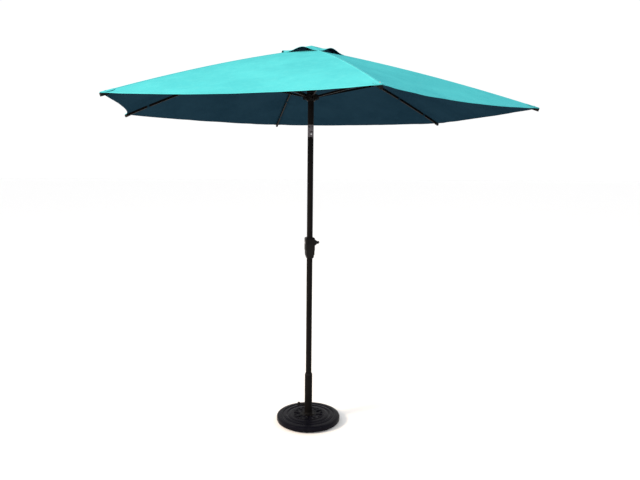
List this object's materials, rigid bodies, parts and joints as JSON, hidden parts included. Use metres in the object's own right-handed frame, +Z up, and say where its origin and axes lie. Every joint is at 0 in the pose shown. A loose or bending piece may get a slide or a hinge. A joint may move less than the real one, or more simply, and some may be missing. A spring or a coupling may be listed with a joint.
{
  "type": "crank patio umbrella",
  "caption": "Hexagonal vented patio umbrella with a crank-driven folding frame, a push-button tilt joint, a two-part pole and a round cast base with a clamp knob.",
  "frame": {"origin": "centre of the base's underside, on the floor", "axes": "+Z up the pole; -Y towards rib 1 and the tilt button; +X along the crank's axle, out of its side"},
  "size_m": [2.3436, 2.6996, 2.431],
  "materials": {
    "cast_base": "semi-gloss black enamel on a cast surface",
    "painted_frame": "satin black-bronze powder coat",
    "black_plastic": "satin moulded, fine grain",
    "rubber_feet": "matt",
    "steel": "zinc plated",
    "grey_joint": "bead-blasted grey",
    "cord": "braided polyester",
    "canopy_cloth": "plain-woven polyester, matt, with a darker coated underside"
  },
  "bodies": {
    "base": {"base_disc": "cast_base", "base_rosette": "cast_base", "base_tube": "painted_frame", "base_collar": "black_plastic", "base_bolts": "steel", "base_feet": "rubber_feet"},
    "clamp": {"clamp_knob": "black_plastic"},
    "pole": {"pole_foot": "black_plastic", "lower_pole": "painted_frame", "pole_coupler": "steel", "snap_spring": "steel", "mid_pole": "painted_frame", "housing_front": "black_plastic", "housing_back": "black_plastic", "housing_screws": "steel", "crank_bushes": "grey_joint", "tilt_socket": "grey_joint", "tilt_spring": "steel", "lift_cord_lower": "cord"},
    "snap": {"snap_button": "steel"},
    "crank": {"crank_spool": "steel", "crank_hub": "black_plastic", "crank_arm": "painted_frame"},
    "grip": {"crank_grip": "black_plastic"},
    "tilt_push": {"tilt_button": "steel"},
    "upper": {"tilt_head": "grey_joint", "tilt_pins": "steel", "upper_pole": "painted_frame", "top_hub": "black_plastic", "hub_pins": "steel", "crown_cap": "black_plastic", "lift_cord_upper": "cord", "lift_cord_outer": "cord", "canopy_vent": "canopy_cloth"},
    "pulley_wheel": {"pulley": "grey_joint"},
    "slider": {"runner": "black_plastic"},
    "rib_arm_1": {"rib_1": "painted_frame", "rib_fittings_1": "black_plastic", "canopy_gore_1": "canopy_cloth"},
    "rib_arm_2": {"rib_2": "painted_frame", "rib_fittings_2": "black_plastic", "canopy_gore_2": "canopy_cloth"},
    "rib_arm_3": {"rib_3": "painted_frame", "rib_fittings_3": "black_plastic", "canopy_gore_3": "canopy_cloth"},
    "rib_arm_4": {"rib_4": "painted_frame", "rib_fittings_4": "black_plastic", "canopy_gore_4": "canopy_cloth"},
    "rib_arm_5": {"rib_5": "painted_frame", "rib_fittings_5": "black_plastic", "canopy_gore_5": "canopy_cloth"},
    "rib_arm_6": {"rib_6": "painted_frame", "rib_fittings_6": "black_plastic", "canopy_gore_6": "canopy_cloth"},
    "strut_1": {"stretcher_1": "painted_frame"},
    "strut_2": {"stretcher_2": "painted_frame"},
    "strut_3": {"stretcher_3": "painted_frame"},
    "strut_4": {"stretcher_4": "painted_frame"},
    "strut_5": {"stretcher_5": "painted_frame"},
    "strut_6": {"stretcher_6": "painted_frame"}
  },
  "joints": [
    {"name": "clamp_turn", "type": "hinge", "parent": "base", "child": "clamp", "pos_m": [0, 0, 0.105], "axis": [-0.866, 0.5, 0], "continuous": true},
    {"name": "pole_lift", "type": "slide", "parent": "base", "child": "pole", "axis": [0, 0, 1], "range_m": [0, 0.27]},
    {"name": "snap_press", "type": "slide", "parent": "pole", "child": "snap", "axis": [0, -1, 0], "range_m": [0, 0.003], "stiffness_N_per_m": 600, "springref_m": -0.002, "deforming": ["snap_spring"]},
    {"name": "crank_turn", "type": "hinge", "parent": "pole", "child": "crank", "pos_m": [0, 0, 1.202], "axis": [1, 0, 0], "range_deg": [0, 3600]},
    {"name": "grip_turn", "type": "hinge", "parent": "crank", "child": "grip", "pos_m": [0.06, 0.07146, 1.19322], "axis": [1, 0, 0], "continuous": true},
    {"name": "tilt", "type": "hinge", "parent": "pole", "child": "upper", "pos_m": [0, 0, 1.922], "axis": [-1, 0, 0], "range_deg": [-30, 0]},
    {"name": "tilt_press", "type": "slide", "parent": "pole", "child": "tilt_push", "axis": [0, 1, 0], "range_m": [0, 0.004], "stiffness_N_per_m": 600, "springref_m": -0.002, "deforming": ["tilt_spring"]},
    {"name": "pulley_turn", "type": "hinge", "parent": "upper", "child": "pulley_wheel", "pos_m": [-0.0115, 0, 2.40494], "axis": [0, 1, 0], "range_deg": [0, 4144.2]},
    {"name": "runner_slide", "type": "slide", "parent": "upper", "child": "slider", "axis": [0, 0, -1], "range_m": [0, 0.8317], "deforming": ["lift_cord_outer"]},
    {"name": "rib_fold_1", "type": "hinge", "parent": "upper", "child": "rib_arm_1", "pos_m": [0, -0.035, 2.39294], "axis": [1, 0, 0], "range_deg": [0, 69.2], "deforming": ["canopy_gore_1", "canopy_vent"]},
    {"name": "rib_fold_2", "type": "hinge", "parent": "upper", "child": "rib_arm_2", "pos_m": [0.03031, -0.0175, 2.39294], "axis": [0.5, 0.866, 0], "range_deg": [0, 69.2], "deforming": ["canopy_gore_2"]},
    {"name": "rib_fold_3", "type": "hinge", "parent": "upper", "child": "rib_arm_3", "pos_m": [0.03031, 0.0175, 2.39294], "axis": [-0.5, 0.866, 0], "range_deg": [0, 69.2], "deforming": ["canopy_gore_3"]},
    {"name": "rib_fold_4", "type": "hinge", "parent": "upper", "child": "rib_arm_4", "pos_m": [0, 0.035, 2.39294], "axis": [-1, 0, 0], "range_deg": [0, 69.2], "deforming": ["canopy_gore_4"]},
    {"name": "rib_fold_5", "type": "hinge", "parent": "upper", "child": "rib_arm_5", "pos_m": [-0.03031, 0.0175, 2.39294], "axis": [-0.5, -0.866, 0], "range_deg": [0, 69.2], "deforming": ["canopy_gore_5"]},
    {"name": "rib_fold_6", "type": "hinge", "parent": "upper", "child": "rib_arm_6", "pos_m": [-0.03031, -0.0175, 2.39294], "axis": [0.5, -0.866, 0], "range_deg": [0, 69.2], "deforming": ["canopy_gore_6"]},
    {"name": "strut_fold_1", "type": "hinge", "parent": "rib_arm_1", "child": "strut_1", "pos_m": [0, -0.57476, 2.2437], "axis": [1, 0, 0], "range_deg": [-141.99, 0]},
    {"name": "strut_fold_2", "type": "hinge", "parent": "rib_arm_2", "child": "strut_2", "pos_m": [0.49776, -0.28738, 2.2437], "axis": [0.5, 0.866, 0], "range_deg": [-141.99, 0]},
    {"name": "strut_fold_3", "type": "hinge", "parent": "rib_arm_3", "child": "strut_3", "pos_m": [0.49776, 0.28738, 2.2437], "axis": [-0.5, 0.866, 0], "range_deg": [-141.99, 0]},
    {"name": "strut_fold_4", "type": "hinge", "parent": "rib_arm_4", "child": "strut_4", "pos_m": [0, 0.57476, 2.2437], "axis": [-1, 0, 0], "range_deg": [-141.99, 0]},
    {"name": "strut_fold_5", "type": "hinge", "parent": "rib_arm_5", "child": "strut_5", "pos_m": [-0.49776, 0.28738, 2.2437], "axis": [-0.5, -0.866, 0], "range_deg": [-141.99, 0]},
    {"name": "strut_fold_6", "type": "hinge", "parent": "rib_arm_6", "child": "strut_6", "pos_m": [-0.49776, -0.28738, 2.2437], "axis": [0.5, -0.866, 0], "range_deg": [-141.99, 0]}
  ],
  "couplings": [
    {"joint": "crank_turn", "follows": "runner_slide", "rad_per_m": 75.546},
    {"joint": "pulley_turn", "follows": "runner_slide", "rad_per_m": 86.957},
    {"joint": "rib_fold_1", "follows": "runner_slide", "rad_per_m": 1.4511},
    {"joint": "rib_fold_2", "follows": "runner_slide", "rad_per_m": 1.4511},
    {"joint": "rib_fold_3", "follows": "runner_slide", "rad_per_m": 1.4511},
    {"joint": "rib_fold_4", "follows": "runner_slide", "rad_per_m": 1.4511},
    {"joint": "rib_fold_5", "follows": "runner_slide", "rad_per_m": 1.4511},
    {"joint": "rib_fold_6", "follows": "runner_slide", "rad_per_m": 1.4511},
    {"joint": "strut_fold_1", "follows": "runner_slide", "rad_per_m": -2.9786},
    {"joint": "strut_fold_2", "follows": "runner_slide", "rad_per_m": -2.9786},
    {"joint": "strut_fold_3", "follows": "runner_slide", "rad_per_m": -2.9786},
    {"joint": "strut_fold_4", "follows": "runner_slide", "rad_per_m": -2.9786},
    {"joint": "strut_fold_5", "follows": "runner_slide", "rad_per_m": -2.9786},
    {"joint": "strut_fold_6", "follows": "runner_slide", "rad_per_m": -2.9786}
  ]
}
